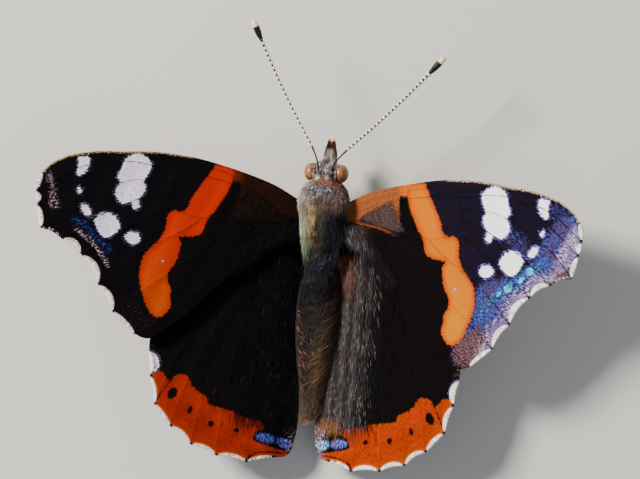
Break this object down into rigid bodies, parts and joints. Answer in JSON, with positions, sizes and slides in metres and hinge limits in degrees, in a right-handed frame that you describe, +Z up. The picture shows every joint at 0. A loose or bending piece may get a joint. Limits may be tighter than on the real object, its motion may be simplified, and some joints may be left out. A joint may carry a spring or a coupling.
{
  "type": "red admiral butterfly",
  "caption": "Life-size still red admiral butterfly standing with its banded wings held open and its feelers spread.",
  "frame": {"origin": "on the floor under the middle of the butterfly's bounding box", "axes": "+Z up, +Y ahead of the head, +X to the butterfly's right"},
  "size_m": [0.0648, 0.0516, 0.0147],
  "materials": {
    "fur": "dark olive brown hair and scales, silky",
    "eye": "amber orange, smooth, faintly faceted",
    "feeler": "black with fine white rings, pale tip",
    "wing": "velvety black brown scales with an orange red band and white spots",
    "leg": "grey brown, fine scales"
  },
  "bodies": {
    "root": {"head": "fur", "thorax": "fur", "abdomen": "fur", "palp_left": "fur", "palp_right": "fur", "eye_left": "eye", "eye_right": "eye", "antenna_left": "feeler", "antenna_right": "feeler", "proboscis": "feeler", "forewing_left": "wing", "forewing_right": "wing", "hindwing_left": "wing", "hindwing_right": "wing", "foreleg_left": "leg", "foreleg_right": "leg", "midleg_left": "leg", "midleg_right": "leg", "hindleg_left": "leg", "hindleg_right": "leg"}
  },
  "joints": []
}
